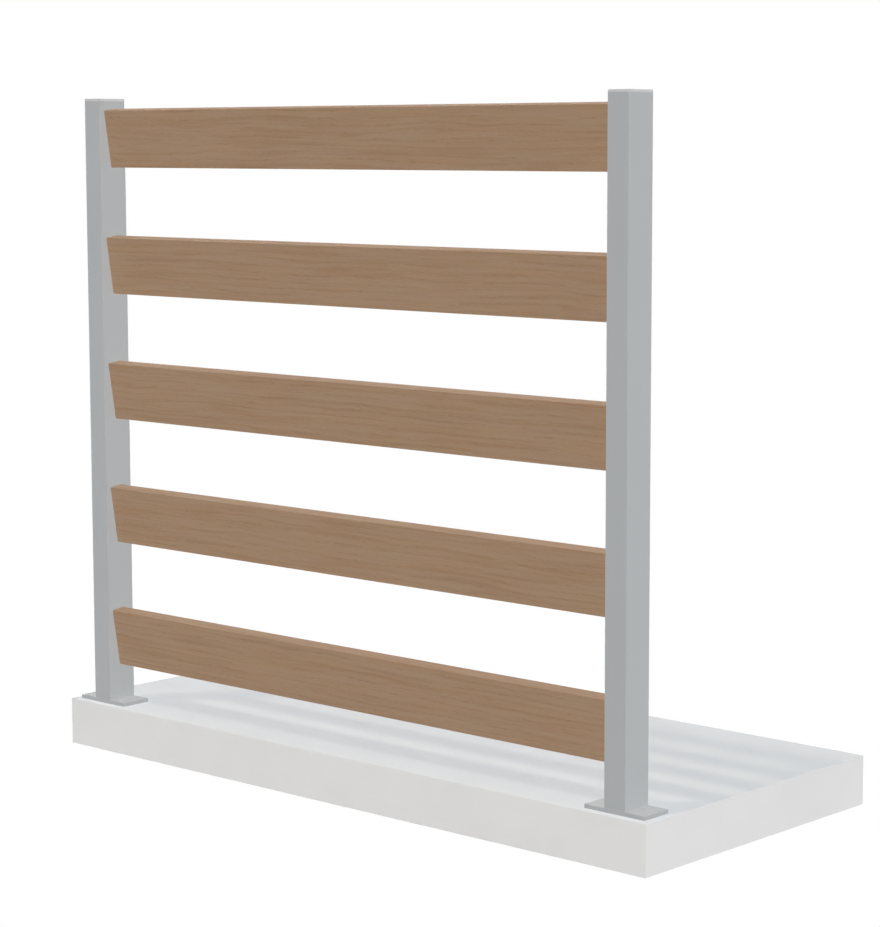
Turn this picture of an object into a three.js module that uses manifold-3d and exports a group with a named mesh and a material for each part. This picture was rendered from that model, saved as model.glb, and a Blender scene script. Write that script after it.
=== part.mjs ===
// Garden privacy screen: two extruded aluminium posts on base plates carry five tilted wooden slats.
// Millimetres. +X runs along the screen, the front faces -Y, +Z is up.
// The origin is on the ground, midway between the posts.

import * as THREE from 'three';
import { mergeVertices } from 'three/addons/utils/BufferGeometryUtils.js';
import Module from 'manifold-3d';

const wasm = await Module();
wasm.setup();

// ---- Driving dimensions ----

// Whole screen
const POST_SPACING = 1981;          // between the posts' centre lines
const POST_TOP_HEIGHT = 1800;       // from the ground to the tubes' upper ends

// Post extrusion: a rectangular tube with an open screw port in each corner
const POST_WIDTH = 68;              // along the screen
const POST_DEPTH = 96.5;            // from front to back
const POST_CORNER_RADIUS = 3;
const POST_WALL = 3;
const PORT_WALL = 2.5;
const PORT_SINK = 0.6;              // how far a port's ring runs into the tube's walls
const PORT_MOUTH_ANGLE = 70;        // degrees, the opening of the port towards the tube's middle

// Post cap: a lid with a rounded upper edge and four tabs that plug into the tube
const CAP_HEIGHT = 7;               // above the tube's end
const CAP_EDGE_RADIUS = 2.5;        // round the upper edge
const CAP_TAB_DEPTH = 22;
const CAP_TAB_THICKNESS = 2.5;
const CAP_TAB_LEAD_IN = 1.2;
const CAP_TAB_ROOT = 1;             // how far a tab runs up into the lid
const CAP_TAB_SIDE_GAP = 2;         // between a tab and the screw ports beside it

// Base plate
const PLATE_OVERHANG = 63;          // past the post, on each side along the screen
const PLATE_THICKNESS = 11;
const PLATE_EDGE_BREAK = 0.5;

// Slats
const SLAT_COUNT = 5;
const SLAT_WIDTH = 168;
const SLAT_THICKNESS = 42.5;
const SLAT_EDGE_RADIUS = 1;
const SLAT_TILT = 8.4;              // degrees, upper edge towards the front
const LOWEST_SLAT_RISE = 203.7;     // from the ground to the lowest slat's centre line
const TOP_SLAT_DROP = 108.2;        // from the tubes' upper ends down to the highest slat's centre line
const SLAT_END_GAP = 2;             // between a slat's end and the post

// Slat bracket: a flange on the post and a tongue in the slat's end
const FLANGE_THICKNESS = 4;
const FLANGE_SIDE_COVER = 9;        // wood left between the flange and each broad face
const FLANGE_END_COVER = 19;        // wood left between the flange and each narrow edge
const FLANGE_CORNER_RADIUS = 3;
const TONGUE_LENGTH = 50;
const TONGUE_THICKNESS = 4;
const TONGUE_CORNER_RADIUS = 8;
const BRACKET_SCREW_END_DISTANCE = 13;  // from the flange's end to its screw
const TONGUE_TO_SCREW_HEAD = 6;     // between the tongue's root and a bracket screw's head

// Screws: radius of the shank, radius of the countersunk head, overall length
const BASE_SCREW = { shank: 3, head: 6, length: 45, point: 3, key: 2, keyDepth: 2 };
const BRACKET_SCREW = { shank: 2.75, head: 5.2, length: 17, point: 4, key: 1.9, keyDepth: 1.6 };
const LOCKING_SCREW = { shank: 2.5, head: 5, length: 36, point: 6, key: 1.9, keyDepth: 1.6 };
const SCREW_HEAD_RIM = 0.4;         // straight edge round a countersunk head

// Clearances
const SEAT_GAP = 0.3;               // between pieces that are drawn up against each other
const SCREW_FIT = 0.3;              // all round a screw in its hole
const CAP_FIT = 0.3;                // between a cap's tabs and the tube's walls
const MORTISE_FIT = 0.5;            // all round the bracket in the slat's end
const HEAD_RECESS = 0.3;            // how far a screw head lies below the face round it

// Facets
const FACET_ANGLE = 22.5;           // degrees, the largest turn between two facets of an outline's arc
const EDGE_FACET_ANGLE = 45;        // the same for a slat's eased edges
const SCREW_SIDES = 12;
const KEY_SIDES = 6;

// ---- Dimensions worked out from the driving ones ----

const CLEAR_WIDTH = POST_SPACING - POST_WIDTH;
const TUBE_LENGTH = POST_TOP_HEIGHT - PLATE_THICKNESS;
const SLAT_LENGTH = CLEAR_WIDTH - 2 * SLAT_END_GAP;
const SLAT_PITCH = (POST_TOP_HEIGHT - TOP_SLAT_DROP - LOWEST_SLAT_RISE) / (SLAT_COUNT - 1);

const PORT_BORE = BASE_SCREW.shank + SCREW_FIT;
const PORT_RADIUS = PORT_BORE + PORT_WALL;
const PORT_INSET = POST_WALL + PORT_RADIUS - PORT_SINK;
const PORT_X = POST_WIDTH / 2 - PORT_INSET;
const PORT_Y = POST_DEPTH / 2 - PORT_INSET;
// Half the angle that a port's ring spends inside one wall of the tube
const PORT_WALL_ANGLE = THREE.MathUtils.radToDeg(Math.acos((PORT_RADIUS - PORT_SINK) / PORT_RADIUS));

const FLANGE_WIDTH = SLAT_THICKNESS - 2 * FLANGE_SIDE_COVER;
const FLANGE_LENGTH = SLAT_WIDTH - 2 * FLANGE_END_COVER;
const BRACKET_SCREW_OFFSET = FLANGE_LENGTH / 2 - BRACKET_SCREW_END_DISTANCE;
const TONGUE_WIDTH = 2 * (BRACKET_SCREW_OFFSET - BRACKET_SCREW.head - TONGUE_TO_SCREW_HEAD);
const FLANGE_FRONT = SEAT_GAP + FLANGE_THICKNESS;   // from the post's face to the flange's far face
const TONGUE_TIP = FLANGE_FRONT + TONGUE_LENGTH;
const LOCKING_SCREW_DISTANCE = FLANGE_FRONT + TONGUE_LENGTH / 2;

// ---- Materials ----

const paintedAluminium = new THREE.MeshStandardMaterial({ color: 0xa9abad, roughness: 0.55, metalness: 0.2 });
const paleGreyPlastic = new THREE.MeshStandardMaterial({ color: 0xbbbbbc, roughness: 0.6, metalness: 0 });
const wood = new THREE.MeshStandardMaterial({ color: 0x9a8069, roughness: 0.7, metalness: 0 });
const bareSteel = new THREE.MeshStandardMaterial({ color: 0xb9bbbd, roughness: 0.35, metalness: 1 });

// ---- Solids from three.js geometry ----

function toSolid(geometry) {
  const bare = geometry.clone();
  bare.deleteAttribute('normal');
  bare.deleteAttribute('uv');
  const merged = mergeVertices(bare, 1e-5);
  const corners = merged.index.array;
  const triangles = [];
  for (let i = 0; i < corners.length; i += 3) {
    const [a, b, c] = [corners[i], corners[i + 1], corners[i + 2]];
    if (a !== b && b !== c && c !== a) {
      triangles.push(a, b, c);
    }
  }
  return new wasm.Manifold(new wasm.Mesh({
    numProp: 3,
    vertProperties: merged.attributes.position.array,
    triVerts: Uint32Array.from(triangles),
  }));
}

function toGeometry(solid) {
  const mesh = solid.getMesh();
  const geometry = new THREE.BufferGeometry();
  geometry.setAttribute('position', new THREE.BufferAttribute(Float32Array.from(mesh.vertProperties), 3));
  geometry.setIndex(new THREE.BufferAttribute(Uint32Array.from(mesh.triVerts), 1));
  geometry.computeVertexNormals();
  return geometry;
}

function join(base, pieces) {
  return pieces.reduce((solid, piece) => solid.add(toSolid(piece)), base);
}

function cut(base, pieces) {
  return pieces.reduce((solid, piece) => solid.subtract(toSolid(piece)), base);
}

// ---- Outlines and basic forms ----

// Points along an arc, both ends included. Angles are in degrees, and the arc turns from one to the other.
function arc(x, y, radius, from, to, facetAngle = FACET_ANGLE) {
  const steps = Math.max(1, Math.ceil(Math.abs(to - from) / facetAngle - 1e-6));
  const points = [];
  for (let i = 0; i <= steps; i += 1) {
    const angle = THREE.MathUtils.degToRad(from + (to - from) * i / steps);
    points.push(new THREE.Vector2(x + radius * Math.cos(angle), y + radius * Math.sin(angle)));
  }
  return points;
}

// A rectangle with round corners, centred, drawn anticlockwise.
function roundedRectangle(width, height, radius, facetAngle = FACET_ANGLE) {
  const x = width / 2 - radius;
  const y = height / 2 - radius;
  return [
    ...arc(x, y, radius, 0, 90, facetAngle),
    ...arc(-x, y, radius, 90, 180, facetAngle),
    ...arc(-x, -y, radius, 180, 270, facetAngle),
    ...arc(x, -y, radius, 270, 360, facetAngle),
  ];
}

// A straight form along +Z from an outline and the outlines of what is open in it.
function prism(outline, length, openings = []) {
  const shape = new THREE.Shape(outline);
  shape.holes = openings.map((points) => new THREE.Path(points));
  return new THREE.ExtrudeGeometry(shape, { depth: length, bevelEnabled: false });
}

function box(sizeX, sizeY, sizeZ) {
  return new THREE.BoxGeometry(sizeX, sizeY, sizeZ);
}

// Turns a form that was drawn along +Z so that it runs along +X.
function alongX(geometry) {
  return geometry.rotateY(Math.PI / 2);
}

// A closed form through level convex outlines, from the lowest up, all with the same number of points.
function loft(levels) {
  const rings = levels.map(({ outline, height }) => (
    outline.map((point) => new THREE.Vector3(point.x, point.y, height))
  ));
  const lowest = rings[0];
  const highest = rings[rings.length - 1];
  const lowestCentre = new THREE.Vector3(0, 0, levels[0].height);
  const highestCentre = new THREE.Vector3(0, 0, levels[levels.length - 1].height);
  const points = [];
  for (let i = 0; i < lowest.length; i += 1) {
    const next = (i + 1) % lowest.length;
    points.push(lowestCentre, lowest[next], lowest[i]);
    points.push(highestCentre, highest[i], highest[next]);
    for (let level = 1; level < rings.length; level += 1) {
      const [below, above] = [rings[level - 1], rings[level]];
      points.push(below[i], below[next], above[next]);
      points.push(below[i], above[next], above[i]);
    }
  }
  return new THREE.BufferGeometry().setFromPoints(points);
}

// ---- Countersunk screws and their holes ----

// Half section of a countersunk screw: the head's face is at height 0 and the point is up.
// grow makes the section of its hole, with clearance all round and an open mouth.
function screwSection(screw, grow = 0) {
  const shank = screw.shank + grow;
  const head = screw.head + grow;
  const mouth = grow > 0 ? -2 * HEAD_RECESS : 0;
  return [
    new THREE.Vector2(0, mouth),
    new THREE.Vector2(head, mouth),
    new THREE.Vector2(head, SCREW_HEAD_RIM),
    new THREE.Vector2(shank, SCREW_HEAD_RIM + head - shank),
    new THREE.Vector2(shank, screw.length - screw.point),
    new THREE.Vector2(0, screw.length + grow),
  ];
}

// A form turned about +Z from a half section of radius and height.
function turned(section) {
  return new THREE.LatheGeometry(section, SCREW_SIDES).rotateX(Math.PI / 2);
}

function screwGeometry(screw) {
  const body = toSolid(turned(screwSection(screw)));
  const keyCut = new THREE.CylinderGeometry(screw.key, screw.key, 2 * screw.keyDepth, KEY_SIDES);
  return toGeometry(cut(body, [keyCut.rotateX(Math.PI / 2)]));
}

function screwHole(screw) {
  return turned(screwSection(screw, SCREW_FIT));
}

// ---- Places ----

const SIDES = [{ name: 'left', sign: -1 }, { name: 'right', sign: 1 }];
const BRACKET_SCREW_PLACES = [
  { name: 'lower', offset: -BRACKET_SCREW_OFFSET },
  { name: 'upper', offset: BRACKET_SCREW_OFFSET },
];

// The tilted frame of a slat: X along it, Y through its thickness, Z across its width.
function slatFrame(index) {
  const height = LOWEST_SLAT_RISE + index * SLAT_PITCH;
  const tilt = new THREE.Matrix4().makeRotationX(THREE.MathUtils.degToRad(SLAT_TILT));
  return new THREE.Matrix4().makeTranslation(0, 0, height).multiply(tilt);
}

// Where each screw port stands in the post's section.
function portCentres() {
  const centres = [];
  for (const x of [-PORT_X, PORT_X]) {
    for (const y of [-PORT_Y, PORT_Y]) {
      centres.push({ x, y });
    }
  }
  return centres;
}

// ---- Posts ----

// The outline of the tube's hollow at one corner, drawn anticlockwise round the hollow.
// It leaves the first wall along the port's ring, turns in at the mouth, goes round the bore,
// comes out at the other lip and follows the ring to the second wall.
function portOutline(cornerAngle) {
  const x = PORT_X * Math.sign(Math.cos(THREE.MathUtils.degToRad(cornerAngle)));
  const y = PORT_Y * Math.sign(Math.sin(THREE.MathUtils.degToRad(cornerAngle)));
  const halfMouth = PORT_MOUTH_ANGLE / 2;
  const firstWall = cornerAngle + 360 - 45 - PORT_WALL_ANGLE;
  const secondWall = cornerAngle + 45 + PORT_WALL_ANGLE;
  const firstLip = cornerAngle + 180 + halfMouth;
  const secondLip = cornerAngle + 180 - halfMouth;
  return [
    ...arc(x, y, PORT_RADIUS, firstWall, firstLip),
    ...arc(x, y, PORT_BORE, firstLip, secondLip + 360),
    ...arc(x, y, PORT_RADIUS, secondLip, secondWall),
  ];
}

// The bracket screws' holes through the wall that faces the slats, in the post's own frame.
function bracketHoles(sign) {
  const radius = BRACKET_SCREW.shank + SCREW_FIT;
  const reach = 2 * POST_WALL;
  const holes = [];
  for (let index = 0; index < SLAT_COUNT; index += 1) {
    for (const { offset } of BRACKET_SCREW_PLACES) {
      const hole = new THREE.CylinderGeometry(radius, radius, reach, SCREW_SIDES).rotateZ(Math.PI / 2);
      hole.translate(0, 0, offset);
      hole.applyMatrix4(slatFrame(index));
      hole.translate(-sign * (POST_WIDTH / 2 - POST_WALL / 2), 0, -PLATE_THICKNESS);
      holes.push(hole);
    }
  }
  return holes;
}

function postGeometry(sign) {
  const outline = roundedRectangle(POST_WIDTH, POST_DEPTH, POST_CORNER_RADIUS);
  const hollow = [45, 135, 225, 315].flatMap(portOutline);
  const tube = toSolid(prism(outline, TUBE_LENGTH, [hollow]));
  return toGeometry(cut(tube, bracketHoles(sign)));
}

// ---- Post caps ----

// One tab: a flat tongue under the lid with a lead-in on its outer side. It is drawn for the +Y wall.
function capTab(width, wallDistance) {
  const outer = wallDistance - CAP_FIT;
  const inner = outer - CAP_TAB_THICKNESS;
  const side = [
    new THREE.Vector2(inner, CAP_TAB_ROOT),
    new THREE.Vector2(inner, -CAP_TAB_DEPTH),
    new THREE.Vector2(outer - CAP_TAB_LEAD_IN, -CAP_TAB_DEPTH),
    new THREE.Vector2(outer, -CAP_TAB_DEPTH + 2 * CAP_TAB_LEAD_IN),
    new THREE.Vector2(outer, CAP_TAB_ROOT),
  ];
  const tab = prism(side, width).translate(0, 0, -width / 2);
  // The section's x becomes +Y and its y becomes +Z.
  return tab.rotateY(Math.PI / 2).rotateX(Math.PI / 2);
}

// The cap's outline, drawn in by inset on every side.
function capOutline(inset) {
  return roundedRectangle(POST_WIDTH - 2 * inset, POST_DEPTH - 2 * inset, POST_CORNER_RADIUS - inset);
}

function capGeometry() {
  const edge = arc(0, CAP_HEIGHT - CAP_EDGE_RADIUS, CAP_EDGE_RADIUS, 0, 90).map((point) => (
    { outline: capOutline(CAP_EDGE_RADIUS - point.x), height: point.y }
  ));
  const lid = toSolid(loft([{ outline: capOutline(0), height: 0 }, ...edge]));
  const portReach = PORT_RADIUS + CAP_TAB_SIDE_GAP;
  const tabs = [];
  for (const turn of [0, Math.PI]) {
    tabs.push(capTab(2 * (PORT_X - portReach), POST_DEPTH / 2 - POST_WALL).rotateZ(turn));
    tabs.push(capTab(2 * (PORT_Y - portReach), POST_WIDTH / 2 - POST_WALL).rotateZ(turn + Math.PI / 2));
  }
  return toGeometry(join(lid, tabs));
}

// ---- Base plates ----

function basePlateGeometry() {
  const x = POST_WIDTH / 2 + PLATE_OVERHANG;
  const y = POST_DEPTH / 2;
  const outline = [[-x, -y], [x, -y], [x, y], [-x, y]].map((corner) => new THREE.Vector2(...corner));
  const plate = new THREE.ExtrudeGeometry(new THREE.Shape(outline), {
    depth: PLATE_THICKNESS - 2 * PLATE_EDGE_BREAK,
    bevelEnabled: true,
    bevelThickness: PLATE_EDGE_BREAK,
    bevelSize: PLATE_EDGE_BREAK,
    bevelOffset: -PLATE_EDGE_BREAK,
    bevelSegments: 1,
  }).translate(0, 0, PLATE_EDGE_BREAK);
  const holes = portCentres().map(({ x, y }) => screwHole(BASE_SCREW).translate(x, y, HEAD_RECESS));
  return toGeometry(cut(toSolid(plate), holes));
}

// ---- Slats ----

// What is cut from one end for its bracket and locking screw, in the slat's frame.
function slatEndCutters(sign) {
  const postFace = sign * CLEAR_WIDTH / 2;
  const flangeDepth = FLANGE_FRONT + MORTISE_FIT;
  const flangePocket = box(
    flangeDepth,
    FLANGE_WIDTH + 2 * MORTISE_FIT,
    FLANGE_LENGTH + 2 * MORTISE_FIT,
  ).translate(postFace - sign * flangeDepth / 2, 0, 0);
  const tongueDepth = TONGUE_TIP + MORTISE_FIT;
  const tonguePocket = box(
    tongueDepth,
    TONGUE_THICKNESS + 2 * MORTISE_FIT,
    TONGUE_WIDTH + 2 * MORTISE_FIT,
  ).translate(postFace - sign * tongueDepth / 2, 0, 0);
  const screw = fromRearFace(screwHole(LOCKING_SCREW));
  screw.translate(postFace - sign * LOCKING_SCREW_DISTANCE, 0, 0);
  return [flangePocket, tonguePocket, screw];
}

// Turns a screw so that its head is in the slat's rear face and its point is towards the front.
function fromRearFace(geometry) {
  return geometry.rotateX(Math.PI / 2).translate(0, SLAT_THICKNESS / 2 - HEAD_RECESS, 0);
}

function slatGeometry() {
  const section = roundedRectangle(SLAT_WIDTH, SLAT_THICKNESS, SLAT_EDGE_RADIUS, EDGE_FACET_ANGLE);
  const board = alongX(prism(section, SLAT_LENGTH).translate(0, 0, -SLAT_LENGTH / 2));
  return toGeometry(cut(toSolid(board), SIDES.flatMap(({ sign }) => slatEndCutters(sign))));
}

// ---- Slat brackets ----

// Drawn for the left post: the post's face is at x = 0 and the tongue points along +X.
function bracketGeometry() {
  const flangeOutline = roundedRectangle(FLANGE_LENGTH, FLANGE_WIDTH, FLANGE_CORNER_RADIUS);
  const flange = alongX(prism(flangeOutline, FLANGE_THICKNESS)).translate(SEAT_GAP, 0, 0);

  const halfWidth = TONGUE_WIDTH / 2;
  const root = SEAT_GAP + FLANGE_THICKNESS / 2;
  const corner = TONGUE_CORNER_RADIUS;
  const tongueOutline = [
    new THREE.Vector2(root, halfWidth),
    new THREE.Vector2(root, -halfWidth),
    ...arc(TONGUE_TIP - corner, -halfWidth + corner, corner, -90, 0),
    ...arc(TONGUE_TIP - corner, halfWidth - corner, corner, 0, 90),
  ];
  // The outline's y becomes +Z and the tongue's thickness runs along Y.
  const tongue = prism(tongueOutline, TONGUE_THICKNESS)
    .translate(0, 0, -TONGUE_THICKNESS / 2)
    .rotateX(Math.PI / 2);

  const screwHoles = BRACKET_SCREW_PLACES.map(({ offset }) => (
    fromFlange(screwHole(BRACKET_SCREW)).translate(0, 0, offset)
  ));
  const lockingRadius = LOCKING_SCREW.shank + SCREW_FIT;
  const lockingHole = new THREE.CylinderGeometry(
    lockingRadius,
    lockingRadius,
    2 * TONGUE_THICKNESS,
    SCREW_SIDES,
  ).translate(LOCKING_SCREW_DISTANCE, 0, 0);
  return toGeometry(cut(join(toSolid(flange), [tongue]), [...screwHoles, lockingHole]));
}

// Turns a screw so that its head is in the flange's far face and its point is towards the post.
function fromFlange(geometry) {
  return geometry.rotateY(-Math.PI / 2).translate(FLANGE_FRONT - HEAD_RECESS, 0, 0);
}

// ---- Assembly ----

const screen = new THREE.Group();

function addMesh(parent, name, geometry, material) {
  const mesh = new THREE.Mesh(geometry, material);
  mesh.name = name;
  parent.add(mesh);
  return mesh;
}

// Each post stands on its base plate, held by four screws from below and closed by a cap.
function addPost({ name, sign }, shared) {
  const post = new THREE.Group();
  post.position.x = sign * POST_SPACING / 2;
  addMesh(post, `base_plate_${name}`, shared.plate, paintedAluminium);
  addMesh(post, `post_${name}`, postGeometry(sign), paintedAluminium).position.z = PLATE_THICKNESS;
  addMesh(post, `post_cap_${name}`, shared.cap, paleGreyPlastic).position.z = POST_TOP_HEIGHT;
  portCentres().forEach(({ x, y }, index) => {
    const screw = addMesh(post, `base_screw_${name}_${index + 1}`, shared.baseScrew, bareSteel);
    screw.position.set(x, y, HEAD_RECESS);
  });
  screen.add(post);
}

// A slat with its bracket, bracket screws and locking screw at each end, all tilted together.
function addSlat(index, shared) {
  const slat = new THREE.Group();
  slat.applyMatrix4(slatFrame(index));
  const name = `slat_${index + 1}`;
  addMesh(slat, name, shared.slat, wood);
  for (const side of SIDES) {
    // The right end is the left end turned half round about the slat's width.
    const end = new THREE.Group();
    end.position.x = side.sign * CLEAR_WIDTH / 2;
    end.rotation.z = side.sign > 0 ? Math.PI : 0;
    const bracketName = `${name}_bracket_${side.name}`;
    addMesh(end, bracketName, shared.bracket, bareSteel);
    for (const place of BRACKET_SCREW_PLACES) {
      const screw = addMesh(end, `${bracketName}_screw_${place.name}`, shared.bracketScrew, bareSteel);
      screw.position.z = place.offset;
    }
    slat.add(end);
    const locking = addMesh(slat, `${name}_locking_screw_${side.name}`, shared.lockingScrew, bareSteel);
    locking.position.x = side.sign * (CLEAR_WIDTH / 2 - LOCKING_SCREW_DISTANCE);
  }
  screen.add(slat);
}

const postPieces = {
  plate: basePlateGeometry(),
  cap: capGeometry(),
  baseScrew: screwGeometry(BASE_SCREW),
};
SIDES.forEach((side) => addPost(side, postPieces));

const slatPieces = {
  slat: slatGeometry(),
  bracket: bracketGeometry(),
  bracketScrew: fromFlange(screwGeometry(BRACKET_SCREW)),
  lockingScrew: fromRearFace(screwGeometry(LOCKING_SCREW)),
};
for (let index = 0; index < SLAT_COUNT; index += 1) {
  addSlat(index, slatPieces);
}

export default screen;
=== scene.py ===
"""Looks of the garden privacy screen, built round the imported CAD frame.

Metres, with the CAD's axes: +X runs along the screen, the front faces -Y, +Z is up, and the ground
is at z = 0. Shapes are written in millimetres, as in the part's source, and scaled once by MM.
Posts, caps, base plates, slats, base screws and locking screws get finer meshes than the CAD's.
The brackets and their screws, which the slats hide, stay CAD nodes with a better material.
"""

import math

import bmesh
import bpy
from mathutils import Matrix, Vector
from mathutils.geometry import tessellate_polygon


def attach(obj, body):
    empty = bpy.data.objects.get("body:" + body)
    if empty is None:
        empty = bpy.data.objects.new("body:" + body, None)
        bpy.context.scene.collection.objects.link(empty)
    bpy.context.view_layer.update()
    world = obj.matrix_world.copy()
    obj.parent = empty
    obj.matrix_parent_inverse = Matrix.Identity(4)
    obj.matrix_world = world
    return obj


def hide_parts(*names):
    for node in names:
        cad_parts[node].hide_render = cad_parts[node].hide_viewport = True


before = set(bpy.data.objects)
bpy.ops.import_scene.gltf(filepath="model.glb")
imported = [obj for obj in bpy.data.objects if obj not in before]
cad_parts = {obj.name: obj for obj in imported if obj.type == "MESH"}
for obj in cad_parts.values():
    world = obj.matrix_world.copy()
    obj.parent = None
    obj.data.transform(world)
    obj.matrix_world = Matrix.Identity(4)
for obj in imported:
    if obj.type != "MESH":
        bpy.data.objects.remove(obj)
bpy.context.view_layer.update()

MM = 0.001
BODY = "root"
SIDES = {"left": -1, "right": 1}

# ---- The part's sizes, in millimetres and degrees, as in its source ----

POST_SPACING = 1981              # between the posts' centre lines
POST_TOP_HEIGHT = 1800           # from the ground to the tubes' upper ends
POST_WIDTH = 68                  # along the screen
POST_DEPTH = 96.5                # from front to back
POST_CORNER_RADIUS = 3
POST_WALL = 3
PORT_WALL = 2.5
PORT_SINK = 0.6                  # how far a screw port's ring runs into the tube's walls
PORT_MOUTH_ANGLE = 70

CAP_HEIGHT = 7
CAP_EDGE_RADIUS = 2.5
CAP_TAB_DEPTH = 22
CAP_TAB_THICKNESS = 2.5
CAP_TAB_LEAD_IN = 1.2
CAP_TAB_ROOT = 1                 # how far a tab runs up into the lid
CAP_TAB_SIDE_GAP = 2             # between a tab and the screw ports beside it
CAP_FIT = 0.3                    # between a tab and the tube's wall

PLATE_OVERHANG = 63              # past the post, on each side along the screen
PLATE_THICKNESS = 11
PLATE_EDGE_BREAK = 0.5

SLAT_COUNT = 5
SLAT_WIDTH = 168
SLAT_THICKNESS = 42.5
SLAT_EDGE_RADIUS = 1
SLAT_TILT = 8.4                  # upper edge towards the front
LOWEST_SLAT_RISE = 203.7         # from the ground to the lowest slat's centre line
TOP_SLAT_DROP = 108.2            # from the tubes' upper ends to the highest slat's centre line
SLAT_END_GAP = 2                 # between a slat's end and the post

SEAT_GAP = 0.3                   # between pieces that are drawn up against each other
FLANGE_THICKNESS = 4
FLANGE_SIDE_COVER = 9            # wood between a bracket's flange and each broad face
FLANGE_END_COVER = 19            # wood between the flange and each narrow edge
TONGUE_LENGTH = 50
TONGUE_THICKNESS = 4
BRACKET_SCREW_END_DISTANCE = 13  # from the flange's end to its screw
TONGUE_TO_SCREW_HEAD = 6         # between the tongue's root and a bracket screw's head
MORTISE_FIT = 0.5                # all round the bracket in the slat's end
SCREW_FIT = 0.3                  # all round a screw in its hole
HEAD_RECESS = 0.3                # how far a screw head lies below the face round it
SCREW_HEAD_RIM = 0.4             # straight edge round a countersunk head

# Radii and lengths. "key" is the hexagon socket's radius.
BASE_SCREW = {"shank": 3, "head": 6, "length": 45, "point": 3, "key": 2, "key_depth": 2}
LOCKING_SCREW = {"shank": 2.5, "head": 5, "length": 36, "point": 6, "key": 1.9, "key_depth": 1.6}
BRACKET_SCREW = {"shank": 2.75, "head": 5.2}  # stays a CAD node, so only its hole is made here

CLEAR_WIDTH = POST_SPACING - POST_WIDTH
TUBE_LENGTH = POST_TOP_HEIGHT - PLATE_THICKNESS
PLATE_WIDTH = POST_WIDTH + 2 * PLATE_OVERHANG
SLAT_LENGTH = CLEAR_WIDTH - 2 * SLAT_END_GAP
SLAT_PITCH = (POST_TOP_HEIGHT - TOP_SLAT_DROP - LOWEST_SLAT_RISE) / (SLAT_COUNT - 1)
PORT_BORE = BASE_SCREW["shank"] + SCREW_FIT
PORT_RADIUS = PORT_BORE + PORT_WALL
PORT_INSET = POST_WALL + PORT_RADIUS - PORT_SINK
PORT_X = POST_WIDTH / 2 - PORT_INSET
PORT_Y = POST_DEPTH / 2 - PORT_INSET
PORT_WALL_ANGLE = math.degrees(math.acos((PORT_RADIUS - PORT_SINK) / PORT_RADIUS))
FLANGE_WIDTH = SLAT_THICKNESS - 2 * FLANGE_SIDE_COVER
FLANGE_LENGTH = SLAT_WIDTH - 2 * FLANGE_END_COVER
FLANGE_FRONT = SEAT_GAP + FLANGE_THICKNESS    # from the post's face to the flange's far face
BRACKET_SCREW_OFFSET = FLANGE_LENGTH / 2 - BRACKET_SCREW_END_DISTANCE
TONGUE_TIP = FLANGE_FRONT + TONGUE_LENGTH
TONGUE_WIDTH = 2 * (BRACKET_SCREW_OFFSET - BRACKET_SCREW["head"] - TONGUE_TO_SCREW_HEAD)
LOCKING_SCREW_DISTANCE = FLANGE_FRONT + TONGUE_LENGTH / 2

# ---- Detail that only the looks have, in millimetres ----

CORNER_STEPS = 14        # facets in each rounded corner of a post or cap
CAP_EDGE_STEPS = 8       # facets in the rounding of a cap's upper edge
PLATE_CORNER_STEPS = 4
SLAT_CORNER_STEPS = 6
PORT_RING_STEPS = 10     # facets from a screw port's mouth to the tube's wall
PORT_BORE_STEPS = 24     # facets round a screw port's bore
SCREW_SIDES = 40
KEY_SIDES = 6
POST_HOLE_SIDES = 24     # of the bracket screws' holes
LONG_EDGE = 4            # an outline's edge longer than this is a flat face, and shades flat
FACING = 0.9             # a face whose normal has more than this along an axis faces that way
WELD = 0.01              # corners nearer than this after a cut are one

TUBE_EDGE_BREAK = 0.2    # deburred ends of a post, which make the fine seam under its cap
CAP_EDGE_BREAK = 0.2     # of a cap's lower edge
PLATE_CORNER_RADIUS = 0.8
SLAT_END_BREAK = 0.5
SLAT_END_RADIUS = 0.6    # of the corners of a slat's end face
BREAK_MIDDLE = 0.3       # how far in the middle of a broken edge lies, as a share of its size
HEAD_SOFTENING = 0.12    # of the edge of a screw's head
SCREW_TIP_LENGTH = 0.3
SCREW_TIP_SHARE = 0.3    # radius of a screw's blunt tip, as a share of the shank's


# ---- Outlines ----

def arc(x, y, radius, start, end, steps):
    """Points on an arc, both ends included, angles in degrees."""
    points = []
    for i in range(steps + 1):
        angle = math.radians(start + (end - start) * i / steps)
        points.append((x + radius * math.cos(angle), y + radius * math.sin(angle)))
    return points


def circle(radius, sides):
    """Points round a circle about the origin, the first of them not repeated."""
    return arc(0, 0, radius, 0, 360 - 360 / sides, sides - 1)


def rounded_rectangle(width, height, radius, steps=CORNER_STEPS):
    """A rectangle with round corners, centred, anticlockwise."""
    x, y = width / 2 - radius, height / 2 - radius
    return (
        arc(x, y, radius, 0, 90, steps)
        + arc(-x, y, radius, 90, 180, steps)
        + arc(-x, -y, radius, 180, 270, steps)
        + arc(x, -y, radius, 270, 360, steps)
    )


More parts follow.
